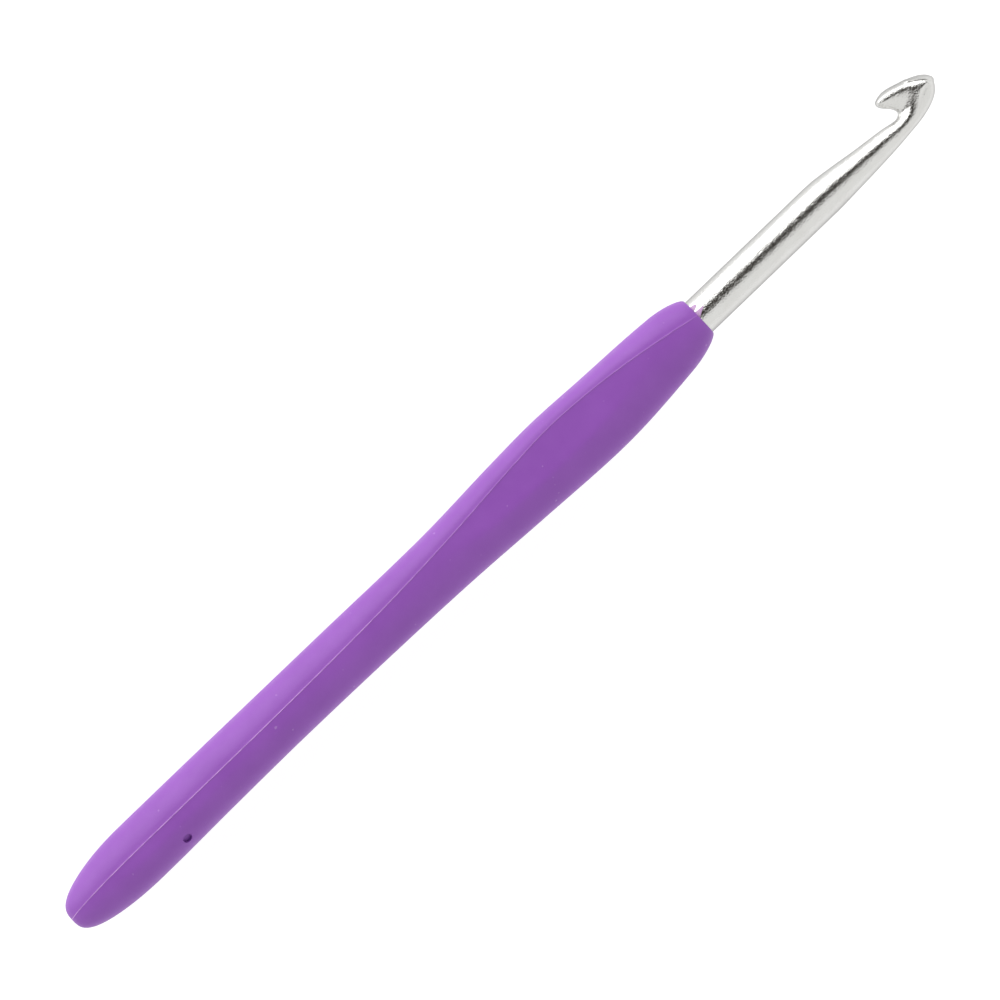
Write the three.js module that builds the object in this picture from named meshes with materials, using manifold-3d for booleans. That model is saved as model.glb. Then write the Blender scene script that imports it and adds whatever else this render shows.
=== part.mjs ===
import * as THREE from "three";
import { mergeVertices } from "three/addons/utils/BufferGeometryUtils.js";
import Module from "manifold-3d";

// A 5.0 mm crochet hook with a soft ergonomic handle, in millimetres.
// Every sub-part is drawn about the shaft's own axis: +X runs towards the tip, +Y is the side of the lip and
// of the thumb rest, +Z comes out of one side of the handle, and x = 0 is the handle's mouth.
// The finished group is then set down on its other side, with its base centred on the origin.

// Driving dimensions
const HOOK_SIZE = 5.0; // the shaft's diameter, which is what the hook is sold by
const METAL_LENGTH = 41.6; // from the handle's mouth to the tip
const HANDLE_LENGTH = 108;
const SIDE_FLAT = 4.4; // half the handle's width between its two flattened sides
const SKIN = 1.0; // the soft skin's thickness over the core
const TANG_LENGTH = 34; // how far the rod goes into the handle
const FIT_GAP = 0.3; // between pieces that touch on the real hook

// The handle's side outline, as heights above the shaft's axis at distances along it.
const THUMB_LINE = [[-108, 3.95], [-98, 4.25], [-62, 4.22], [-44, 4.17], [-31, 4.78], [-24, 4.98], [-16, 4.69],
  [-8, 4.42], [0, 3.9]];
const BELLY_LINE = [[-108, -4.05], [-94, -4.04], [-84, -3.86], [-72, -3.74], [-56, -3.88], [-43, -4.18],
  [-31, -4.74], [-19, -5.22], [-12, -4.97], [0, -3.75]];
// The widest line of the handle, where the two halves of its mould met. Below it the sides bulge by HALF_WIDTH
// before SIDE_FLAT takes the roundness off them, and above it they lean in by LEAN, so the line is a crease.
const PARTING_LINE = [[-108, 0.4], [-100, 0.58], [-70, 0.7], [-52, 1.1], [-40, 1.8], [-30, 2.65], [-22, 3.05],
  [-12, 2.3], [0, 0.35]];
const HALF_WIDTH = [[-108, 4.52], [-90, 4.52], [-60, 4.1], [-46, 4.25], [-35, 4.85], [-22, 5], [-12, 4.6],
  [0, 3.8]];
const LEAN = [[-108, 0.14], [-60, 0.14], [-35, 0.09], [0, 0.07]]; // for each unit of height
const SQUARENESS = 2.3; // exponent of the handle's section: 2 is an ellipse, and more is squarer

// The handle's two ends
const TAIL_ROUND = 12; // length of the tail's dome
const TAIL_BLUNTNESS = 3.1; // exponent of the dome: 2 is an ellipsoid, and more is blunter
const TAIL_HEIGHT = -0.2; // the tail's tip above the shaft's axis
const MOUTH_ROUND = 5; // length of the shoulder round the mouth
const MOUTH_FULLNESS = 0.6; // exponent of the shoulder: 1 is a parabola, and less is fuller
const MOUTH_SHARE = 0.69; // size of the mouth's flat face against the section behind its shoulder

// The core and its lock into the skin
const CORE_ENDS = [-104, -9]; // its tail end and its mouth end
const CORE_CHAMFER = 1;
const GROOVES = 5;
const GROOVE_FIRST = -94; // the middle of the groove nearest the tail
const GROOVE_PITCH = 12;
const GROOVE_WIDTH = 3;
const GROOVE_DEPTH = 0.6;
const PIN_HOLE = { x: -90.45, angle: -0.76, radius: 0.64 }; // between two grooves, below the parting line

// The metal from the end of its shaft to its nose. BAR is the round rod as it thins into the neck and swells
// again into the nose: [x, top, widest line, underside, half width].
const BAR = [[20.5, 2.5, 0, -2.5, 2.5], [22, 2.43, 0, -2.5, 2.48], [25, 2.06, -0.06, -2.37, 2.23],
  [28.2, 1.6, -0.15, -2.22, 1.9], [32.3, 1.11, -0.33, -1.96, 1.5], [35, 0.72, -0.42, -1.69, 1.2],
  [36.5, 1.24, -0.08, -1.52, 1.3], [38, 2.5, 0.72, -1.23, 1.52], [39.3, 2.95, 1.4, -0.82, 1.6],
  [40.4, 2.6, 1.5, -0.23, 1.42], [41.1, 2.15, 1.5, 0.49, 1], [41.5, 1.8, 1.5, 1.1, 0.55]];
// The lip over it is a pointed arch that is widest at its rim: [x, crown, rim, half width at the rim].
const LIP = [[33.6, 4.25, 3.72, 0.65], [34.5, 4.42, 3.72, 1.18], [35.5, 4.45, 3.56, 1.62],
  [36.5, 4.32, 3.33, 1.78], [37.5, 4.04, 3.02, 1.86], [39.5, 3.36, 2.07, 1.84], [40.5, 2.88, 1.6, 1.64],
  [41, 2.52, 1.4, 1.28], [41.5, 2.02, 1.25, 0.65]];
const RIM_BEVEL = 0.2; // how sharply the arch leaves its rim: 0 is smooth, and 1 is a straight roof
const ARCH_FULLNESS = 3.2; // exponent of the arch: 2 is a parabola, and more is fuller
// How steeply the cheek falls in under the rim, and how gently it starts to from beak to nose.
const CHEEK_SLOPE = 0.58;
const CHEEK_TURN = [[33, 0.3], [35, 0.5], [37, 1.4], [38.5, 2.4], [42, 3]];
const THINNEST = 0.4; // half the lip's thickness at the throat
const LIP_ROOT = 0.2; // how far the lip goes down past the bar's widest line
const NOSE_START = 40.2; // where the head starts to round off towards its tip
const NOSE_HEIGHT = 1.65;
const TANG_FLAT = { length: 12, halfThickness: 1.7, blend: 2 }; // stops the rod from turning in the core

// The throat, as the edge that the yarn meets: up from the neck, round the throat and out to the beak.
const THROAT_EDGE = [[34.4, 0.3], [35.1, 0.72], [35.42, 1.35], [35.08, 2.15], [34.42, 2.85], [34.06, 3.45],
  [34.14, 3.95], [34.6, 4.33], [35.2, 4.65]];

const RING_POINTS = 28;
const OVERLAP = 1; // how far bodies that join, or that cut each other, run past their meeting
const shaftRadius = HOOK_SIZE / 2;

const wasm = await Module();
wasm.setup();

function toSolid(geometry) {
  const bare = geometry.clone();
  bare.deleteAttribute("normal");
  bare.deleteAttribute("uv");
  const merged = mergeVertices(bare, 1e-4);
  const vertProperties = merged.attributes.position.array;
  const triVerts = new Uint32Array(merged.index.array);
  return new wasm.Manifold(new wasm.Mesh({ numProp: 3, vertProperties, triVerts }));
}

function toGeometry(solid) {
  const mesh = solid.getMesh();
  const geometry = new THREE.BufferGeometry();
  geometry.setAttribute("position", new THREE.BufferAttribute(mesh.vertProperties, 3));
  geometry.setIndex(new THREE.BufferAttribute(mesh.triVerts, 1));
  return geometry;
}

// A smooth line through [x, height] points: its height at any x.
function smoothLine(points) {
  const last = points.length - 1;
  const slope = (i) => {
    const [x0, y0] = points[Math.max(i - 1, 0)];
    const [x1, y1] = points[Math.min(i + 1, last)];
    return (y1 - y0) / (x1 - x0);
  };
  return (x) => {
    const next = points.findIndex((point) => point[0] > x);
    const i = next < 0 ? last - 1 : Math.max(next - 1, 0);
    const [x0, y0] = points[i];
    const [x1, y1] = points[i + 1];
    const span = x1 - x0;
    const t = (x - x0) / span;
    const rise = y0 + (y1 - y0) * t * t * (3 - 2 * t);
    return rise + span * t * (1 - t) * (slope(i) * (1 - t) - slope(i + 1) * t);
  };
}

// A closed solid skinned over rings of RING_POINTS points, with each end fanned to its own centre.
function loft(rings, startCentre, endCentre) {
  const corners = [...rings.flat(), startCentre, endCentre];
  const [start, end] = [corners.length - 2, corners.length - 1];
  const lastRing = (rings.length - 1) * RING_POINTS;
  const faces = [];
  for (let i = 0; i < RING_POINTS; i += 1) {
    const j = (i + 1) % RING_POINTS;
    for (let base = 0; base < lastRing; base += RING_POINTS) {
      faces.push(base + i, base + j, base + RING_POINTS + i);
      faces.push(base + j, base + RING_POINTS + j, base + RING_POINTS + i);
    }
    faces.push(start, j, i);
    faces.push(end, lastRing + i, lastRing + j);
  }
  const geometry = new THREE.BufferGeometry().setFromPoints(corners);
  geometry.setIndex(faces);
  return geometry;
}

// A ring of points across the X axis: shape(sine, cosine) gives the height and the sideways place.
function ring(x, shape) {
  const points = [];
  for (let i = 0; i < RING_POINTS; i += 1) {
    const angle = (2 * Math.PI * i) / RING_POINTS;
    const [y, z] = shape(Math.sin(angle), Math.cos(angle));
    points.push(new THREE.Vector3(x, y, -z));
  }
  return points;
}

function ovalRing(x, top, bottom, halfWidth) {
  return ring(x, (sine, cosine) => [(top + bottom) / 2 + ((top - bottom) / 2) * sine, halfWidth * cosine]);
}

// Evenly spaced values from start to end, both included.
function steps(start, end, count) {
  return Array.from({ length: count + 1 }, (_, i) => start + ((end - start) * i) / count);
}

// Values that crowd towards zero, for rounding an end: 0 is left out and the last is length.
function endSteps(length, count) {
  return steps(Math.PI / 2 / count, Math.PI / 2, count - 1).map((angle) => length * (1 - Math.cos(angle)));
}

const thumbLine = smoothLine(THUMB_LINE);
const bellyLine = smoothLine(BELLY_LINE);
const partingLine = smoothLine(PARTING_LINE);
const halfWidth = smoothLine(HALF_WIDTH);
const lean = smoothLine(LEAN);

// How much of the full section is left at x, as the handle rounds off into its two ends.
function tailShare(x) {
  const gone = 1 - Math.min((x + HANDLE_LENGTH) / TAIL_ROUND, 1);
  return (1 - gone * gone) ** (1 / TAIL_BLUNTNESS);
}

function mouthShare(x) {
  const gone = 1 - Math.min(-x / MOUTH_ROUND, 1);
  return MOUTH_SHARE + (1 - MOUTH_SHARE) * (1 - gone * gone) ** MOUTH_FULLNESS;
}

// The handle's section at x, pulled in all round by inset: two half ovals that meet on the parting line.
function handleShape(x, inset) {
  const share = tailShare(x) * mouthShare(x);
  const centre = x < -HANDLE_LENGTH / 2 ? TAIL_HEIGHT : 0;
  const shrink = (height) => centre + (height - centre) * share;
  const parting = shrink(partingLine(x));
  const above = shrink(thumbLine(x)) - parting - inset;
  const below = parting - shrink(bellyLine(x)) - inset;
  const side = halfWidth(x) * share - inset;
  const flat = SIDE_FLAT - inset;
  const squared = (value) => Math.sign(value) * Math.abs(value) ** (2 / SQUARENESS);
  return (sine, cosine) => {
    const rise = (sine > 0 ? above : below) * squared(sine);
    const widest = sine > 0 ? Math.min(side, flat) - lean(x) * rise : side;
    return [parting + rise, THREE.MathUtils.clamp(widest * squared(cosine), -flat, flat)];
  };
}

function handleRing(x, inset) {
  return ring(x, handleShape(x, inset));
}

// The handle's outer body
function handleBody() {
  const stations = [
    ...endSteps(TAIL_ROUND, 9).map((distance) => distance - HANDLE_LENGTH),
    ...steps(TAIL_ROUND - HANDLE_LENGTH, -MOUTH_ROUND, 23).slice(1, -1),
    ...endSteps(MOUTH_ROUND, 5).reverse().map((distance) => -distance),
    0,
  ];
  const rings = stations.map((x) => handleRing(x, 0));
  return toSolid(loft(rings, new THREE.Vector3(-HANDLE_LENGTH, TAIL_HEIGHT, 0), new THREE.Vector3(0, 0, 0)));
}

// The core's outer body, grown all over by grow. Its ring grooves are what the skin grips.
function coreBody(grow) {
  const inset = SKIN + FIT_GAP - grow;
  const [tail, mouth] = [CORE_ENDS[0] - grow, CORE_ENDS[1] + grow];
  const rings = [handleRing(tail, inset + CORE_CHAMFER), handleRing(tail + CORE_CHAMFER, inset)];
  for (let i = 0; i < GROOVES; i += 1) {
    const middle = GROOVE_FIRST + i * GROOVE_PITCH;
    const half = GROOVE_WIDTH / 2 - grow;
    rings.push(handleRing(middle - half, inset));
    rings.push(handleRing(middle - half, inset + GROOVE_DEPTH));
    rings.push(handleRing(middle + half, inset + GROOVE_DEPTH));
    rings.push(handleRing(middle + half, inset));
    rings.push(handleRing(middle + GROOVE_PITCH / 2, inset));
  }
  rings.push(handleRing(mouth, inset));
  return toSolid(loft(rings, centreOf(rings[0]), centreOf(rings.at(-1))));
}

function centreOf(points) {
  return points.reduce((sum, point) => sum.add(point), new THREE.Vector3()).divideScalar(points.length);
}

// The rod inside the handle, grown all over by grow, with its end pressed flat.
function tangBody(grow, mouth) {
  const round = shaftRadius + grow;
  const flatStart = -TANG_LENGTH + TANG_FLAT.length;
  const thin = TANG_FLAT.halfThickness + grow;
  const rings = [
    ovalRing(-TANG_LENGTH - grow, round, -round, thin),
    ovalRing(flatStart, round, -round, thin),
    ovalRing(flatStart + TANG_FLAT.blend, round, -round, round),
    ovalRing(mouth, round, -round, round),
  ];
  return toSolid(loft(rings, new THREE.Vector3(-TANG_LENGTH - grow, 0, 0), new THREE.Vector3(mouth, 0, 0)));
}

// The hole that a mould pin left through the skin, square to its surface, on one side of the handle.
function pinHole(side) {
  const shape = handleShape(PIN_HOLE.x, 0);
  const surfaceAt = (angle) => {
    const [y, z] = shape(Math.sin(angle), Math.cos(angle));
    return new THREE.Vector3(PIN_HOLE.x, y, side * z);
  };
  const step = 0.05;
  const slope = surfaceAt(PIN_HOLE.angle + step).sub(surfaceAt(PIN_HOLE.angle - step));
  const outward = new THREE.Vector3(0, -Math.abs(slope.z), side * Math.abs(slope.y)).normalize();
  const reach = 2 * (SKIN + FIT_GAP) + OVERLAP;
  const geometry = new THREE.CylinderGeometry(PIN_HOLE.radius, PIN_HOLE.radius, reach, 12);
  geometry.applyQuaternion(new THREE.Quaternion().setFromUnitVectors(new THREE.Vector3(0, 1, 0), outward));
  geometry.translate(...surfaceAt(PIN_HOLE.angle).toArray());
  return toSolid(geometry);
}

function softGrip() {
  const hollows = [coreBody(FIT_GAP), tangBody(FIT_GAP, OVERLAP), pinHole(1), pinHole(-1)];
  return hollows.reduce((skin, hollow) => skin.subtract(hollow), handleBody());
}

function handleCore() {
  return coreBody(0).subtract(tangBody(FIT_GAP, OVERLAP));
}

// One column of a table of stations as a smooth line along x.
function columnLine(table, column) {
  return smoothLine(table.map((row) => [row[0], row[column]]));
}

function barBody() {
  const [top, middle, underside, width] = [1, 2, 3, 4].map((column) => columnLine(BAR, column));
  const stations = [...steps(BAR[0][0], NOSE_START, 20), ...steps(NOSE_START, BAR.at(-1)[0], 4).slice(1)];
  const rings = stations.map((x) => ring(x, (sine, cosine) => {
    const reach = sine > 0 ? top(x) - middle(x) : middle(x) - underside(x);
    return [middle(x) + reach * sine, width(x) * cosine];
  }));
  rings.unshift(ovalRing(-OVERLAP, shaftRadius, -shaftRadius, shaftRadius));
  const tip = new THREE.Vector3(METAL_LENGTH, NOSE_HEIGHT, 0);
  return toSolid(loft(rings, new THREE.Vector3(-OVERLAP, 0, 0), tip));
}

// The lip's section at x: sine runs from -1 inside the bar through 0 on the rim to 1 on the crown.
function lipRing(x) {
  const [crown, rim, width] = [1, 2, 3].map((column) => columnLine(LIP, column)(x));
  const bottom = Math.min(columnLine(BAR, 2)(x), rim) - LIP_ROOT;
  const turn = smoothLine(CHEEK_TURN)(x);
  return ring(x, (sine, cosine) => {
    if (sine > 0) {
      const left = 1 - RIM_BEVEL * sine - (1 - RIM_BEVEL) * sine ** ARCH_FULLNESS;
      return [rim + (crown - rim) * sine, Math.sign(cosine) * width * left];
    }
    const drop = (bottom - rim) * sine;
    const half = width - CHEEK_SLOPE * (Math.hypot(drop, turn) - turn);
    return [rim - drop, Math.sign(cosine) * Math.max(half, THINNEST)];
  });
}

function lipBody() {
  const stations = [...steps(LIP[0][0], NOSE_START, 14), ...steps(NOSE_START, LIP.at(-1)[0], 5).slice(1)];
  const rings = stations.map(lipRing);
  return toSolid(loft(rings, centreOf(rings[0]), new THREE.Vector3(METAL_LENGTH, NOSE_HEIGHT, 0)));
}

// What is taken out above the throat, seen from the side and cut straight through.
function throatCut() {
  const edge = new THREE.SplineCurve(THROAT_EDGE.map(([x, y]) => new THREE.Vector2(x, y))).getPoints(24);
  const back = LIP[0][0] - OVERLAP;
  const corners = [new THREE.Vector2(back, edge.at(-1).y + OVERLAP), new THREE.Vector2(back, edge[0].y)];
  const outline = new THREE.Shape([...edge, ...corners]);
  const geometry = new THREE.ExtrudeGeometry(outline, { depth: 2 * HOOK_SIZE, bevelEnabled: false });
  return toSolid(geometry.translate(0, 0, -HOOK_SIZE));
}

function hook() {
  return tangBody(0, 0).add(barBody()).add(lipBody().subtract(throatCut()));
}

const aluminium = new THREE.MeshStandardMaterial({ color: 0xd3d3d1, roughness: 0.28, metalness: 1 });
const corePlastic = new THREE.MeshStandardMaterial({ color: 0x4a2a6b, roughness: 0.5, metalness: 0 });
const purpleSilicone = new THREE.MeshStandardMaterial({ color: 0x9b5dc0, roughness: 0.6, metalness: 0 });

const crochetHook = new THREE.Group();
const pieces = [
  ["hook", hook(), aluminium],
  ["handle_core", handleCore(), corePlastic],
  ["soft_grip", softGrip(), purpleSilicone],
];
for (const [name, solid, material] of pieces) {
  const mesh = new THREE.Mesh(toGeometry(solid), material);
  mesh.name = name;
  crochetHook.add(mesh);
}

// Set the hook down on its side, with the middle of its base at the origin.
const extent = new THREE.Box3().setFromObject(crochetHook);
const middle = extent.getCenter(new THREE.Vector3());
crochetHook.position.set(-middle.x, -middle.y, -extent.min.z);

export default crochetHook;
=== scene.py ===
import math

import bpy
import numpy as np
import openvdb
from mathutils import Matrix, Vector


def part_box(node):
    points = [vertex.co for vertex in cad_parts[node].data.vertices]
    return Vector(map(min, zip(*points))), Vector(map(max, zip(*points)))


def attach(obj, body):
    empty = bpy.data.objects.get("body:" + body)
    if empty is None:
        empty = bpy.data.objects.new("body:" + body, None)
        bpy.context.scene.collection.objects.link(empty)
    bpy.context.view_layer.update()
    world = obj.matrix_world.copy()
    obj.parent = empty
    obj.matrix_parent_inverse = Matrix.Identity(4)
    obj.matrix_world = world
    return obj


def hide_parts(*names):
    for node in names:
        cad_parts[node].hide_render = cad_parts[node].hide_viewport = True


# A 5.0 mm crochet hook with a soft ergonomic handle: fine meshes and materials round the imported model.
# Shapes are worked out in millimetres about the shaft's own axis, as the CAD model's are: x = 0 at the
# handle's mouth and + towards the tip, +y towards the lip, +z out of the side that faces up.

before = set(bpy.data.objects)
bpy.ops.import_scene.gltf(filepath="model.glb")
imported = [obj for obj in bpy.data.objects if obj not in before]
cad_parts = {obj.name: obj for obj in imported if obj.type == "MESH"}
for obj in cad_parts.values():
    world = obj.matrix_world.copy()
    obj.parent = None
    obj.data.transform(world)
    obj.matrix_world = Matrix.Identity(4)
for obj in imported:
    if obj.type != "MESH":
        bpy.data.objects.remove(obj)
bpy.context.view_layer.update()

MM = 0.001
SHAFT_RADIUS = 2.5
SKIN = 1.0
FIT_GAP = 0.3

grip_low, grip_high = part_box("soft_grip")
hook_low, hook_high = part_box("hook")
core_low, core_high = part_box("handle_core")
HANDLE_LENGTH = (grip_high.x - grip_low.x) / MM
SIDE_FLAT = (grip_high.z - grip_low.z) / 2 / MM
TIP = (hook_high.x - grip_high.x) / MM
TANG_END = (hook_low.x - grip_high.x) / MM
CORE_TAIL = (core_low.x - grip_high.x) / MM
CORE_MOUTH = (core_high.x - grip_high.x) / MM
ORIGIN = np.array([grip_high.x, hook_low.y + SHAFT_RADIUS * MM, (grip_low.z + grip_high.z) / 2])


# Curves and rounding

def smooth_line(points):
    """A smooth line through (x, height) points: a function that gives its height at any x between them."""
    xs, ys = np.array(points, float).T
    slopes = np.empty_like(ys)
    slopes[1:-1] = (ys[2:] - ys[:-2]) / (xs[2:] - xs[:-2])
    slopes[0] = (ys[1] - ys[0]) / (xs[1] - xs[0])
    slopes[-1] = (ys[-1] - ys[-2]) / (xs[-1] - xs[-2])

    def height(x):
        x = np.clip(x, xs[0], xs[-1])
        i = np.clip(np.searchsorted(xs, x, side="right") - 1, 0, len(xs) - 2)
        span = xs[i + 1] - xs[i]
        t = (x - xs[i]) / span
        rise = ys[i] + (ys[i + 1] - ys[i]) * t * t * (3 - 2 * t)
        return rise + span * t * (1 - t) * (slopes[i] * (1 - t) - slopes[i + 1] * t)

    return height


def smooth_lines(table):
    """A smooth line along x for each column of a table of stations."""
    xs, *columns = zip(*table)
    return [smooth_line(list(zip(xs, column))) for column in columns]


def smooth_curve(points, per_span):
    """Points along a smooth curve through corners, with per_span steps between each pair."""
    corners = np.array(points, float)
    before = np.vstack([2 * corners[0] - corners[1], corners[:-2]])
    after = np.vstack([corners[2:], 2 * corners[-1] - corners[-2]])
    t = np.linspace(0, 1, per_span, endpoint=False)[None, :, None]
    p0, p1, p2, p3 = (a[:, None, :] for a in (before, corners[:-1], corners[1:], after))
    curve = 0.5 * (
        2 * p1 + (p2 - p0) * t + (2 * p0 - 5 * p1 + 4 * p2 - p3) * t**2 + (3 * p1 - p0 - 3 * p2 + p3) * t**3
    )
    return np.vstack([curve.reshape(-1, 2), corners[-1]])


def smooth_min(a, b, radius):
    """The lower of two distances, blended over about radius where they are alike."""
    near = np.clip(0.5 + 0.5 * (b - a) / radius, 0, 1)
    return b + (a - b) * near - radius * near * (1 - near)


def smooth_max(a, b, radius):
    return -smooth_min(-a, -b, radius)


def ease(x, start, end):
    """0 before start, 1 after end, and smooth between."""
    t = np.clip((x - start) / (end - start), 0, 1)
    return t * t * (3 - 2 * t)


# The metal, as a field of distances in millimetres that is negative inside it

# The round rod that thins into the neck and swells again into the nose: x, top, widest line, underside and
# half width.
BAR = [(20.5, 2.5, 0, -2.5, 2.5), (22, 2.43, 0, -2.5, 2.48), (25, 2.06, -0.06, -2.37, 2.23),
       (28.2, 1.6, -0.15, -2.22, 1.9), (32.3, 1.11, -0.33, -1.96, 1.5), (35, 0.72, -0.42, -1.69, 1.2),
       (36.5, 1.24, -0.08, -1.52, 1.3), (38, 2.5, 0.72, -1.23, 1.52), (39.3, 2.95, 1.4, -0.82, 1.6),
       (40.4, 2.6, 1.5, -0.23, 1.42), (41.1, 2.15, 1.5, 0.49, 1.0), (41.5, 1.8, 1.5, 1.1, 0.55)]
# The lip over it, a pointed arch that is widest at its rim: x, crown, rim and half width at the rim.
LIP = [(33.6, 4.25, 3.72, 0.65), (34.5, 4.42, 3.72, 1.18), (35.5, 4.45, 3.56, 1.62),
       (36.5, 4.32, 3.35, 1.78), (37.5, 4.04, 3.09, 1.86), (38.5, 3.72, 2.68, 1.87), (39.5, 3.36, 2.06, 1.84),
       (40.5, 2.88, 1.48, 1.64), (41, 2.52, 1.28, 1.28), (41.5, 2.02, 1.15, 0.65)]
LIP_START = 33.4
RIM_BEVEL = 0.2  # how sharply the arch leaves its rim: 0 is smooth, and 1 is a straight roof
ARCH_FULLNESS = 3.2  # exponent of the arch: 2 is a parabola, and more is fuller
CHEEK_SLOPE = 0.58  # how steeply the cheek falls in under the rim
CHEEK_TURN = [(33, 0.3), (35, 0.5), (37, 1.4), (38.5, 2.4), (42, 3)]  # how gently it starts to, along x
THINNEST = 0.4  # half the lip's thickness at the throat
LIP_ROOT = 0.2  # how far the lip goes down past the bar's widest line
THROAT_EDGE = [(26, 0.9), (31, 0.3), (34.4, 0.3), (35.1, 0.72), (35.42, 1.35), (35.08, 2.15), (34.42, 2.85),
               (34.06, 3.45), (34.14, 3.95), (34.6, 4.33), (35.2, 4.65)]
RIM_ROUND = 0.2
CROWN_ROUND = 0.12
EDGE_ROUND = 0.2
THROAT_ROUND = 0.45
BEAK_ROUND = 0.55
VALLEY_ROUND = [(20, 0.6), (38.5, 0.6), (40.5, 0.25), (42, 0.25)]
NOSE_ROUND = 0.5
# A small ledge that the forging die left along the nose, above the rim: its line, how far it pushes the arch
# aside, how narrow it is, how far from its line it is felt, and how wide its flat is. Past it the lip falls
# straight to the crown.
LEDGE = [(38, 3.4), (39.2, 2.9), (40, 2.35), (40.4, 2.03), (40.8, 1.68), (41.15, 1.2)]
LEDGE_DEPTH = 0.34
LEDGE_WIDTH = 0.27
LEDGE_REACH = 0.45
LEDGE_FLAT = 0.13
LEDGE_EDGE_ROUND = 0.05
LEDGE_FADE = 1.2  # the length along x over which it comes in
TANG_FLAT_END = -22
TANG_FLAT = 1.7

bar_top, bar_middle, bar_bottom, bar_width = smooth_lines(BAR)
lip_crown, lip_rim, lip_width = smooth_lines(LIP)
cheek_turn = smooth_line(CHEEK_TURN)
ledge_line = smooth_line(LEDGE)
valley_round = smooth_line(VALLEY_ROUND)
throat_edge = smooth_curve(THROAT_EDGE, 6)


def bar_distance(x, y, z):
    """About how far a point is outside the bar."""
    y = y - bar_middle(x)
    half_height = np.where(y > 0, bar_top(x) - bar_middle(x), bar_middle(x) - bar_bottom(x))
    half_width = bar_width(x)
    spread = (y / half_height) ** 2 + (z / half_width) ** 2
    steepness = 2 * np.sqrt((y / half_height**2) ** 2 + (z / half_width**2) ** 2)
    return (spread - 1) / np.maximum(steepness, 0.3)


def arch_half(x, y):
    """Half the thickness at (x, y) of the lip's arch, without the ledge."""
    rim = lip_rim(x)
    up = (y - rim) / (lip_crown(x) - rim)
    return lip_width(x) * (1 - RIM_BEVEL * up - (1 - RIM_BEVEL) * np.sign(up) * np.abs(up) ** ARCH_FULLNESS)


def lip_half(x, y):
    """Half the lip's thickness at (x, y), with the arch above its rim and the cheek below it."""
    rim, width, crown, ledge = lip_rim(x), lip_width(x), lip_crown(x), ledge_line(x)
    share = ease(x, LEDGE[0][0], LEDGE[0][0] + LEDGE_FADE)
    off = y - ledge
    push = share * LEDGE_DEPTH * np.tanh(off / LEDGE_WIDTH) * np.exp(-((off / LEDGE_REACH) ** 2))
    past = arch_half(x, ledge) * (crown - y) / np.maximum(crown - ledge - LEDGE_FLAT, 0.2) + 1 - share
    arch = smooth_min(arch_half(x, y - push), past, LEDGE_EDGE_ROUND)
    turn = cheek_turn(x)
    cheek = width - CHEEK_SLOPE * (np.hypot(np.maximum(rim - y, 0), turn) - turn)
    return smooth_min(arch, np.maximum(cheek, THINNEST), RIM_ROUND)


def lip_distance(x, y, z):
    """About how far a point is outside the lip."""
    step = 0.02
    half = lip_half(x, y)
    slope_x = (lip_half(x + step, y) - half) / step
    slope_y = (lip_half(x, y + step) - half) / step
    return (np.hypot(z, CROWN_ROUND) - half) / np.sqrt(1 + slope_x**2 + slope_y**2)


def throat_distance(x, y):
    """How far (x, y) is from the throat's edge, negative on the throat's open side."""
    starts, ends = throat_edge[:-1], throat_edge[1:]
    best = np.full(x.shape, 1e9)
    side = np.zeros(x.shape)
    for (sx, sy), (dx, dy) in zip(starts, ends - starts):
        t = np.clip(((x - sx) * dx + (y - sy) * dy) / (dx * dx + dy * dy), 0, 1)
        gap = (x - sx - t * dx) ** 2 + (y - sy - t * dy) ** 2
        side = np.where(gap < best, dx * (y - sy) - dy * (x - sx), side)
        best = np.minimum(best, gap)
    return np.sqrt(best) * np.where(side > 0, -1, 1)


def metal_field(points):
    """About how far points are outside the whole rod: its bar, tang and lip, less the throat."""
    x, y, z = points
    bar = bar_distance(x, y, z)
    bar = smooth_max(bar, np.abs(z) - TANG_FLAT - ease(x, TANG_FLAT_END, TANG_FLAT_END + 2), 0.1)
    bar = smooth_max(bar, TANG_END - x, 0.4)
    if x.max() < LIP_START - 1:
        return bar
    lip = smooth_max(lip_distance(x, y, z), LIP_START - x, EDGE_ROUND)
    lip = smooth_max(lip, np.minimum(bar_middle(x), lip_rim(x)) - LIP_ROOT - y, EDGE_ROUND)
    edge_round = EDGE_ROUND + (BEAK_ROUND - EDGE_ROUND) * ease(y, 2.6, 3.5)
    edge_round += (THROAT_ROUND - EDGE_ROUND) * (1 - ease(y, 0.9, 1.7))
    lip = smooth_max(lip, -throat_distance(x, y), edge_round)
    return smooth_max(smooth_min(bar, lip, valley_round(x)), x - TIP, NOSE_ROUND)


# Meshes

def to_scene(points):
    """Points about the shaft's axis in millimetres, as points in the scene in metres."""
    return np.asarray(points) * MM + ORIGIN


def add_piece(name, points, faces, material, replaced):
    mesh = bpy.data.meshes.new(name)
    mesh.from_pydata(to_scene(points).tolist(), [], faces)
    mesh.validate()
    mesh.polygons.foreach_set("use_smooth", [True] * len(mesh.polygons))
    mesh.materials.append(material)
    piece = bpy.data.objects.new(name, mesh)
    bpy.context.scene.collection.objects.link(piece)
    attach(piece, "root")
    if replaced:
        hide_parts(replaced)
    return piece


def field_mesh(field, xs, ys, zs):
    """The surface where field is zero, as points, normals and quads, from a grid whose steps may vary."""
    grid = openvdb.FloatGrid(background=1.0)
    values = np.stack([field(np.meshgrid([x], ys, zs, indexing="ij"))[0] for x in xs])
    grid.copyFromArray(values.astype(np.float32))
    points, quads = grid.convertToQuads(0.0)
    points = points.astype(float)
    for column, line in enumerate((xs, ys, zs)):
        points[:, column] = np.interp(points[:, column], np.arange(len(line)), line)
    points, slope = settle(field, points)
    return points, slope / np.linalg.norm(slope, axis=1)[:, None], quads


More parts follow.
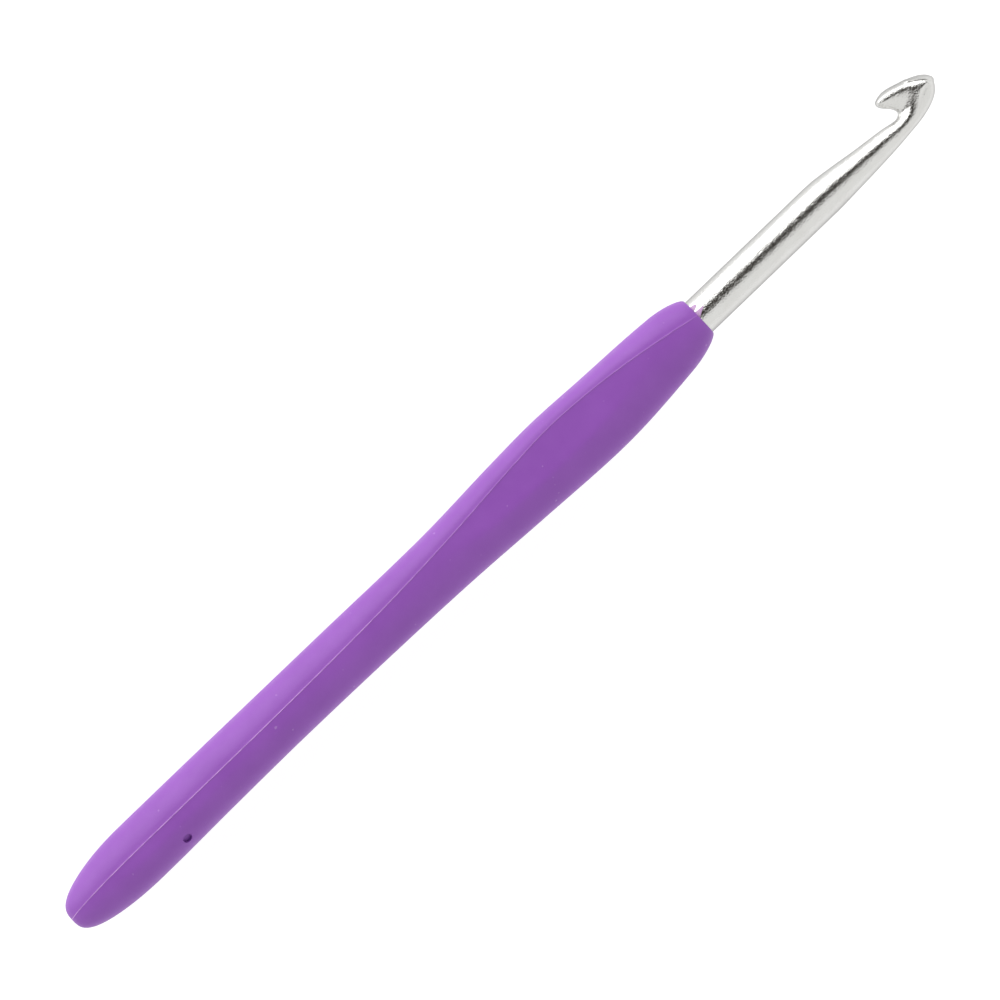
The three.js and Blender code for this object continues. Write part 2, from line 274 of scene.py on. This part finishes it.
def settle(field, points, rounds=4, step=0.004):
    """Moves points onto the surface where field is zero, and gives the field's slope there as well."""
    for _ in range(rounds):
        here = field(points.T)
        slope = np.empty_like(points)
        for column in range(3):
            ahead = points.copy()
            ahead[:, column] += step
            slope[:, column] = (field(ahead.T) - here) / step
        length = np.maximum((slope**2).sum(axis=1), 0.05)
        move = -(here / length)[:, None] * slope
        points = points + np.clip(move, -0.05, 0.05)
    return points, slope


def make_hook(material):
    """The rod with its head, meshed finely where the head is and coarsely along the straight shaft."""
    across = 0.06
    xs = np.concatenate([
        np.arange(TANG_END - 1, TANG_END + 1, 0.2),
        np.arange(TANG_END + 1, 20, 1.0),
        np.arange(20, 33, 0.25),
        np.arange(33, TIP + 0.3, 0.05),
    ])
    ys = np.arange(-2.8, 4.9, across)
    zs = np.arange(-2.8, 2.8 + across, across)
    points, normals, quads = field_mesh(metal_field, xs, ys, zs)
    hook = add_piece("hook_forged", points, quads.tolist(), material, "hook")
    hook.data.normals_split_custom_set_from_vertices(normals.tolist())
    return hook


def ring_faces(rings, count, start=0):
    """Quads between rings that follow each other, each of count points."""
    faces = []
    for base in range(start, start + (rings - 1) * count, count):
        for i in range(count):
            j = (i + 1) % count
            faces.append((base + i, base + count + i, base + count + j, base + j))
    return faces


def closed_mesh(rings, first_pole, last_pole):
    """Points and faces of a skin over rings, fanned to a pole at each end."""
    count = len(rings[0])
    points = np.vstack(rings + [np.array([first_pole, last_pole])])
    first, last = len(points) - 2, len(points) - 1
    end = (len(rings) - 1) * count
    faces = ring_faces(len(rings), count)
    for i in range(count):
        j = (i + 1) % count
        faces.append((first, i, j))
        faces.append((last, end + j, end + i))
    return points, faces


# The handle

THUMB_LINE = [(-108, 3.95), (-98, 4.25), (-62, 4.22), (-44, 4.17), (-31, 4.78), (-24, 4.98), (-16, 4.69),
              (-8, 4.42), (0, 3.9)]
BELLY_LINE = [(-108, -4.05), (-94, -4.04), (-84, -3.86), (-72, -3.74), (-56, -3.88), (-43, -4.18),
              (-31, -4.74), (-19, -5.22), (-12, -4.97), (0, -3.75)]
PARTING_LINE = [(-108, 0.4), (-100, 0.58), (-70, 0.7), (-52, 1.1), (-40, 1.8), (-30, 2.65), (-22, 3.05),
                (-12, 2.3), (0, 0.35)]
HALF_WIDTH = [(-108, 4.52), (-90, 4.52), (-60, 4.1), (-46, 4.25), (-35, 4.85), (-22, 5), (-12, 4.6),
              (0, 3.8)]
LEAN = [(-108, 0.14), (-60, 0.14), (-35, 0.09), (0, 0.07)]
SQUARENESS = 2.3
TAIL_ROUND = 12
TAIL_BLUNTNESS = 3.1
TAIL_HEIGHT = -0.2
MOUTH_ROUND = 5
MOUTH_FULLNESS = 0.6
MOUTH_SHARE = 0.69
FLAT_ROUND = 0.15
FLASH_HEIGHT = 0.05  # the thin fin that the mould left along the parting line
FLASH_WIDTH = 0.09
LINE_HALF = 0.05  # half the width of its paler line, a painted highlight
LINE_STEPS = np.array([0, 0.03, 0.06, 0.1, 0.15, 0.22])  # heights near that line where rings have points
QUARTER_POINTS = 28
STATION_STEP = 0.5
TAIL_STATIONS = 40
MOUTH_STATIONS = 30
BORE_RADIUS = SHAFT_RADIUS + 0.015
BORE_GRIP = 0.5  # how far in from the mouth the skin holds the shaft tightly
GROOVES = [-94 + 12 * i for i in range(5)]
GROOVE_WIDTH = 3
GROOVE_DEPTH = 0.6
CORE_CHAMFER = 1
PIN_HOLE = (-90.45, -0.76)  # its place along the handle, and its angle below the parting line
PIN_HOLE_RADIUS = 0.64
PIN_HOLE_DEPTH = 0.48

thumb_line, belly_line, parting_line, half_width, lean = (
    smooth_line(line) for line in (THUMB_LINE, BELLY_LINE, PARTING_LINE, HALF_WIDTH, LEAN)
)


def handle_section(x, angles=None, inset=0.0, flash=0.0):
    """The handle's section at x, pulled in by inset: angle 0 is on the parting line, pi / 2 is the crown."""
    tail_gone = 1 - min((x + HANDLE_LENGTH) / TAIL_ROUND, 1)
    mouth_gone = 1 - min(-x / MOUTH_ROUND, 1)
    share = (1 - tail_gone**2) ** (1 / TAIL_BLUNTNESS)
    share *= MOUTH_SHARE + (1 - MOUTH_SHARE) * (1 - mouth_gone**2) ** MOUTH_FULLNESS
    centre = TAIL_HEIGHT if x < -HANDLE_LENGTH / 2 else 0
    lines = (thumb_line, belly_line, parting_line)
    top, bottom, parting = (centre + (line(x) - centre) * share for line in lines)
    above, below = top - parting - inset, parting - bottom - inset
    if angles is None:
        angles = ring_angles(above, below)
    sine, cosine = np.sin(angles), np.cos(angles)
    side, flat = half_width(x) * share - inset, SIDE_FLAT - inset
    rise = np.where(sine > 0, above, below) * np.sign(sine) * np.abs(sine) ** (2 / SQUARENESS)
    narrowed = np.abs(cosine) ** (2 / SQUARENESS)
    upper = (smooth_min(side, flat, FLAT_ROUND) - lean(x) * rise) * narrowed
    lower = smooth_min(side * narrowed, flat, FLAT_ROUND)
    z = np.where(sine > 0, upper, lower) + flash * share * np.exp(-((rise / FLASH_WIDTH) ** 2))
    z = np.where(cosine > 0, z, -np.minimum(z, flat))
    return np.column_stack([np.full_like(z, x), parting + rise, z])


def ring_angles(above, below):
    """Angles round a section that reaches above and below the parting line, closer together beside it."""
    quarters = []
    for reach in (above, below):
        near = np.arcsin(np.minimum(LINE_STEPS / reach, 0.9) ** (SQUARENESS / 2))
        quarters.append(np.concatenate([near, np.linspace(near[-1], np.pi / 2, QUARTER_POINTS)[1:]]))
    up, down = quarters
    return np.concatenate([up[:-1], np.pi - up[:0:-1], np.pi + down[:-1], 2 * np.pi - down[:0:-1]])


def bore_ring(x, radius, like, half_thickness=math.inf):
    """A ring of a round bore, flattened at half_thickness, with a point opposite each of another ring's."""
    outward = like[:, 1:] / np.linalg.norm(like[:, 1:], axis=1)[:, None]
    z = np.clip(outward[:, 1] * radius, -half_thickness, half_thickness)
    return np.column_stack([np.full(len(z), x), outward[:, 0] * radius, z])


def grooved_rings(tail, mouth, inset, grow):
    """Rings of the core's outside from its mouth to its tail, grown by grow into the skin's cavity."""
    rings = [handle_section(mouth, inset=inset)]
    for middle in reversed(GROOVES):
        half = GROOVE_WIDTH / 2 - grow
        rings.append(handle_section(middle + half, inset=inset))
        rings.append(handle_section(middle + half, inset=inset + GROOVE_DEPTH))
        rings.append(handle_section(middle - half, inset=inset + GROOVE_DEPTH))
        rings.append(handle_section(middle - half, inset=inset))
    rings.append(handle_section(tail + CORE_CHAMFER, inset=inset))
    rings.append(handle_section(tail, inset=inset + CORE_CHAMFER))
    return rings


def middle_of(ring):
    return ring.mean(axis=0)


def make_grip(material, line_highlight_material):
    tail = TAIL_ROUND * (1 - np.cos(np.linspace(0.03, np.pi / 2, TAIL_STATIONS))) - HANDLE_LENGTH
    mouth = -MOUTH_ROUND * (1 - np.cos(np.linspace(np.pi / 2, 0, MOUTH_STATIONS)))
    stations = np.concatenate([tail, np.arange(tail[-1] + STATION_STEP, mouth[0], STATION_STEP), mouth])
    rings = [handle_section(x, flash=FLASH_HEIGHT) for x in stations]
    face = rings[-1]
    rings.append(bore_ring(0.0, BORE_RADIUS, face))
    rings.append(bore_ring(-BORE_GRIP, BORE_RADIUS, face))
    rings.append(bore_ring(-2 * BORE_GRIP, BORE_RADIUS + FIT_GAP, face))
    cavity_mouth = CORE_MOUTH + FIT_GAP
    rings.append(bore_ring(cavity_mouth, BORE_RADIUS + FIT_GAP, face))
    rings += grooved_rings(CORE_TAIL - FIT_GAP, cavity_mouth, SKIN, FIT_GAP)
    points, faces = closed_mesh(rings, (-HANDLE_LENGTH, TAIL_HEIGHT, 0), middle_of(rings[-1]))
    grip = add_piece("grip_moulded", points, faces, material, "soft_grip")
    grip.data.materials.append(line_highlight_material)
    count = len(face)
    heights = np.abs(face[:, 1] - face[0, 1])
    # Faces along the parting line get the painted-highlight material.
    on_line = [i for i in range(count) if max(heights[i], heights[(i + 1) % count]) < LINE_HALF]
    for row in range(len(stations) - 1):
        for i in on_line:
            grip.data.polygons[row * count + i].material_index = 1
    for side in (1, -1):
        cut_pin_hole(grip, side)
    grip.data.set_sharp_from_angle(angle=math.radians(40))
    return grip


def cut_pin_hole(grip, side):
    """Takes a blind hole out of the skin, square to its surface, where a mould pin stood."""
    x, angle = PIN_HOLE
    here, lower, upper = handle_section(x, np.array([angle, angle - 0.03, angle + 0.03]))
    along = upper - lower
    outward = Vector((0, -abs(along[2]), side * abs(along[1]))).normalized()
    place = Vector(to_scene([x, here[1], side * here[2]]))
    bpy.ops.mesh.primitive_cylinder_add(
        vertices=48, radius=PIN_HOLE_RADIUS * MM, depth=2 * PIN_HOLE_DEPTH * MM
    )
    pin = bpy.context.object
    pin.rotation_euler = outward.to_track_quat("Z", "Y").to_euler()
    pin.location = place
    cut = grip.modifiers.new("pin_hole", "BOOLEAN")
    cut.object = pin
    cut.operation = "DIFFERENCE"
    cut.solver = "EXACT"
    bpy.context.view_layer.update()
    shaped = bpy.data.meshes.new_from_object(grip.evaluated_get(bpy.context.evaluated_depsgraph_get()))
    grip.modifiers.clear()
    grip.data = shaped
    bpy.data.objects.remove(pin)


def make_core(material):
    """The stiff core inside the skin, with ring grooves outside and a flat-ended bore for the rod."""
    outside = grooved_rings(CORE_TAIL, CORE_MOUTH, SKIN + FIT_GAP, 0)[::-1]
    like = outside[-1]
    bore = SHAFT_RADIUS + FIT_GAP
    rings = outside + [
        bore_ring(CORE_MOUTH, bore, like),
        bore_ring(TANG_FLAT_END + 2, bore, like),
        bore_ring(TANG_FLAT_END, bore, like, TANG_FLAT + FIT_GAP),
        bore_ring(TANG_END - FIT_GAP, bore, like, TANG_FLAT + FIT_GAP),
    ]
    points, faces = closed_mesh(rings, middle_of(rings[0]), middle_of(rings[-1]))
    core = add_piece("core_moulded", points, faces, material, "handle_core")
    core.data.set_sharp_from_angle(angle=math.radians(35))
    return core


# The wisps of stray silicone on the shaft just past the mouth: length, height at the mouth and at the end,
# width at the mouth and at the end.
WISPS = [(1.45, 0.3, 0.6, 1.0, 0.25), (0.9, 1.28, 1.35, 0.75, 0.45)]
WISP_THICKNESS = 0.06
WISP_SINK = 0.003  # how far their thin edges go under the shaft's surface
WISP_BASE = 0.03  # and how far their undersides do
WISP_ROOT = 0.05  # how far they start inside the mouth


def make_wisps(material):
    """Thin tongues that lie on the shaft and taper away from the mouth."""
    points, faces = [], []
    along, across = np.linspace(0, 1, 16), np.linspace(-1, 1, 15)
    row, size = len(across), len(along) * len(across)
    rim = list(range(row))
    rim += [i * row + row - 1 for i in range(1, len(along))]
    rim += [size - 1 - j for j in range(1, row)]
    rim += [i * row for i in range(len(along) - 2, 0, -1)]
    for length, y_mouth, y_end, width_mouth, width_end in WISPS:
        top, base = [], []
        for u in along:
            for v in across:
                y = y_mouth + (y_end - y_mouth) * u + (width_mouth + (width_end - width_mouth) * u) * v / 2
                thickness = WISP_THICKNESS * (1 - u) * (1 - v * v) - WISP_SINK
                x = -WISP_ROOT + length * u * (1 - 0.25 * v * v)
                z = math.sqrt(SHAFT_RADIUS**2 - y**2)
                for corners, grown in ((top, thickness), (base, -WISP_BASE)):
                    scale = 1 + grown / SHAFT_RADIUS
                    corners.append((x, y * scale, z * scale))
        start = len(points)
        points += top + base
        for i in range(len(along) - 1):
            for j in range(row - 1):
                a = start + i * row + j
                faces.append((a, a + row, a + row + 1, a + 1))
                faces.append((size + a, size + a + 1, size + a + row + 1, size + a + row))
        for a, b in zip(rim, rim[1:] + rim[:1]):
            faces.append((start + a, start + b, start + size + b, start + size + a))
    return add_piece("moulding_flash", points, faces, material, None)


# Materials

def new_material(name):
    material = bpy.data.materials.new(name)
    material.use_nodes = True
    return material, material.node_tree.nodes, material.node_tree.links


def add_noise(nodes, links, size, detail=2.0, stretch=(1, 1, 1)):
    """Noise whose features are about size millimetres across, stretched along an axis if asked."""
    place = nodes.new("ShaderNodeTexCoord")
    mapping = nodes.new("ShaderNodeMapping")
    mapping.inputs["Scale"].default_value = tuple(1 / (size * MM * s) for s in stretch)
    noise = nodes.new("ShaderNodeTexNoise")
    noise.inputs["Scale"].default_value = 1.0
    noise.inputs["Detail"].default_value = detail
    links.new(place.outputs["Object"], mapping.inputs["Vector"])
    links.new(mapping.outputs["Vector"], noise.inputs["Vector"])
    return noise.outputs["Fac"]


def add_range(nodes, links, value, low, high, start=0.3, end=0.7):
    """Maps a noise's usual range onto low to high."""
    spread = nodes.new("ShaderNodeMapRange")
    spread.inputs["From Min"].default_value = start
    spread.inputs["From Max"].default_value = end
    spread.inputs["To Min"].default_value = low
    spread.inputs["To Max"].default_value = high
    links.new(value, spread.inputs["Value"])
    return spread.outputs["Result"]


def add_colour_mix(nodes, links, factor, first, second):
    mix = nodes.new("ShaderNodeMix")
    mix.data_type = "RGBA"
    links.new(factor, mix.inputs["Factor"])
    for socket, colour in ((mix.inputs["A"], first), (mix.inputs["B"], second)):
        if isinstance(colour, tuple):
            socket.default_value = (*colour, 1)
        else:
            links.new(colour, socket)
    return mix.outputs["Result"]


def add_bump(nodes, links, height, depth, below=None):
    """A bump whose full height is depth millimetres."""
    bump = nodes.new("ShaderNodeBump")
    bump.inputs["Distance"].default_value = depth * MM
    links.new(height, bump.inputs["Height"])
    if below:
        links.new(below, bump.inputs["Normal"])
    return bump.outputs["Normal"]


def make_metal():
    """Tumbled bare aluminium: a satin with a fine grain over slight waves."""
    material, nodes, links = new_material("satin_aluminium")
    shader = nodes["Principled BSDF"]
    shader.inputs["Metallic"].default_value = 1
    shader.inputs["Specular Tint"].default_value = (0.5, 0.5, 0.5, 1)
    cloud = add_range(nodes, links, add_noise(nodes, links, 2.5, 3.0), 0, 1)
    colour = add_colour_mix(nodes, links, cloud, (0.635, 0.63, 0.615), (0.67, 0.668, 0.655))
    links.new(colour, shader.inputs["Base Color"])
    polish = add_range(nodes, links, add_noise(nodes, links, 0.8, 2.0), 0.13, 0.19)
    links.new(polish, shader.inputs["Roughness"])
    waves = add_bump(nodes, links, add_noise(nodes, links, 0.5, 2.0), 0.03)
    grain = add_bump(nodes, links, add_noise(nodes, links, 0.2, 3.0), 0.05, waves)
    links.new(grain, shader.inputs["Normal"])
    return material


def make_silicone(name="purple_silicone", dark=(0.234, 0.068, 0.384), light=(0.252, 0.076, 0.41)):
    """Soft moulded silicone: satin, with a fine mould texture, faint clouds of colour and a little dust."""
    material, nodes, links = new_material(name)
    shader = nodes["Principled BSDF"]
    shader.inputs["Specular IOR Level"].default_value = 0.35
    cloud = add_range(nodes, links, add_noise(nodes, links, 5.0, 4.0), 0, 1)
    colour = add_colour_mix(nodes, links, cloud, dark, light)
    dust = add_range(nodes, links, add_noise(nodes, links, 0.55, 0.0), 0, 0.5, 0.83, 0.88)
    links.new(add_colour_mix(nodes, links, dust, colour, (0.42, 0.24, 0.55)), shader.inputs["Base Color"])
    polish = add_range(nodes, links, add_noise(nodes, links, 1.2, 3.0), 0.42, 0.52)
    links.new(polish, shader.inputs["Roughness"])
    fine = add_bump(nodes, links, add_noise(nodes, links, 0.22, 2.0), 0.006)
    broad = add_bump(nodes, links, add_noise(nodes, links, 3.0, 2.0), 0.02, fine)
    links.new(broad, shader.inputs["Normal"])
    return material


def make_line_highlight_paint():
    """A painted highlight along the parting line's thin fin: paler than the skin, uneven, and fainter towards
    the mouth.
    """
    material, nodes, links = new_material("parting_line_painted_highlight")
    shader = nodes["Principled BSDF"]
    shader.inputs["Specular IOR Level"].default_value = 0.35
    shader.inputs["Roughness"].default_value = 0.5
    place = nodes.new("ShaderNodeTexCoord")
    split = nodes.new("ShaderNodeSeparateXYZ")
    links.new(place.outputs["Object"], split.inputs[0])
    strength = add_range(nodes, links, split.outputs["X"], 1.0, 0.3, -0.03, -0.005)
    uneven = add_range(nodes, links, add_noise(nodes, links, 0.8, 2.0, (2, 1, 1)), 0.35, 1.0, 0.35, 0.6)
    factor = nodes.new("ShaderNodeMath")
    factor.operation = "MULTIPLY"
    links.new(strength, factor.inputs[0])
    links.new(uneven, factor.inputs[1])
    # Painted highlight: a paler colour along the line, strongest at the tail and fainter towards the mouth.
    colour = add_colour_mix(nodes, links, factor.outputs[0], (0.22, 0.066, 0.35), (0.6, 0.36, 0.66))
    links.new(colour, shader.inputs["Base Color"])
    return material


def make_core_plastic():
    """Dark purple moulded plastic with a faint grain."""
    material, nodes, links = new_material("core_plastic")
    shader = nodes["Principled BSDF"]
    cloud = add_range(nodes, links, add_noise(nodes, links, 3.0, 3.0), 0, 1)
    colour = add_colour_mix(nodes, links, cloud, (0.075, 0.02, 0.13), (0.09, 0.026, 0.15))
    links.new(colour, shader.inputs["Base Color"])
    polish = add_range(nodes, links, add_noise(nodes, links, 0.8, 2.0), 0.38, 0.5)
    links.new(polish, shader.inputs["Roughness"])
    links.new(add_bump(nodes, links, add_noise(nodes, links, 0.4, 2.0), 0.01), shader.inputs["Normal"])
    return material


# Floor, light and camera

def make_floor():
    size = 6.0
    mesh = bpy.data.meshes.new("floor")
    corners = [(-size, -size, 0), (size, -size, 0), (size, size, 0), (-size, size, 0)]
    mesh.from_pydata(corners, [], [(0, 1, 2, 3)])
    material, nodes, links = new_material("pale_floor")
    shader = nodes["Principled BSDF"]
    shader.inputs["Base Color"].default_value = (0.3, 0.3, 0.3, 1)
    shader.inputs["Specular IOR Level"].default_value = 0
    shader.inputs["Emission Color"].default_value = (1, 1, 1, 1)
    shader.inputs["Emission Strength"].default_value = 0.86
    mesh.materials.append(material)
    floor = bpy.data.objects.new("floor", mesh)
    bpy.context.scene.collection.objects.link(floor)


def make_world():
    """Pale studio walls under a dark ceiling."""
    world = bpy.data.worlds.new("studio")
    bpy.context.scene.world = world
    world.use_nodes = True
    nodes, links = world.node_tree.nodes, world.node_tree.links
    place = nodes.new("ShaderNodeTexCoord")
    stretch = nodes.new("ShaderNodeMapping")
    stretch.inputs["Scale"].default_value = (0.25, 1, 1)
    stretch.inputs["Rotation"].default_value = (math.radians(6), 0, 0)
    level = nodes.new("ShaderNodeVectorMath")
    level.operation = "NORMALIZE"
    split = nodes.new("ShaderNodeSeparateXYZ")
    ramp = nodes.new("ShaderNodeValToRGB")
    links.new(place.outputs["Generated"], stretch.inputs["Vector"])
    links.new(stretch.outputs["Vector"], level.inputs[0])
    links.new(level.outputs[0], split.inputs[0])
    links.new(split.outputs["Z"], ramp.inputs["Fac"])
    links.new(ramp.outputs["Color"], nodes["Background"].inputs["Color"])
    wall, ceiling = ramp.color_ramp.elements
    wall.position = math.cos(math.radians(26))
    wall.color = (1.05, 1.05, 1.04, 1)
    ceiling.position = math.cos(math.radians(19))
    ceiling.color = (0.055, 0.049, 0.043, 1)


def make_light(name, direction, distance, size, power):
    lamp = bpy.data.lights.new(name, "AREA")
    lamp.shape = "RECTANGLE"
    lamp.size, lamp.size_y = size
    lamp.energy = power
    light = bpy.data.objects.new(name, lamp)
    light.location = Vector(direction).normalized() * distance
    light.rotation_euler = Vector(direction).to_track_quat("Z", "Y").to_euler()
    bpy.context.scene.collection.objects.link(light)


def make_camera():
    """Straight above, with the tip to the upper right."""
    view_width = 124.2 * MM
    distance = 1.2
    aim = to_scene([-33.53, 0.74, 0])
    slant = math.radians(43.85)
    data = bpy.data.cameras.new("camera")
    data.sensor_width = 36
    data.lens = data.sensor_width * distance / view_width
    camera = bpy.data.objects.new("camera", data)
    camera.location = Vector(aim) + Vector((0, 0, distance))
    camera.rotation_euler = (0, 0, -slant)
    bpy.context.scene.collection.objects.link(camera)
    bpy.context.scene.camera = camera


make_hook(make_metal())
silicone = make_silicone()
make_grip(silicone, make_line_highlight_paint())
make_core(make_core_plastic())
make_wisps(make_silicone("thin_silicone", (0.42, 0.25, 0.45), (0.52, 0.34, 0.55)))
make_floor()
make_world()
KEY_ZENITH = math.radians(60)
make_light("key", (0, math.sin(KEY_ZENITH), math.cos(KEY_ZENITH)), 1.5, (3.4, 1.8), 34)
make_camera()
bpy.context.scene.view_settings.view_transform = "Standard"
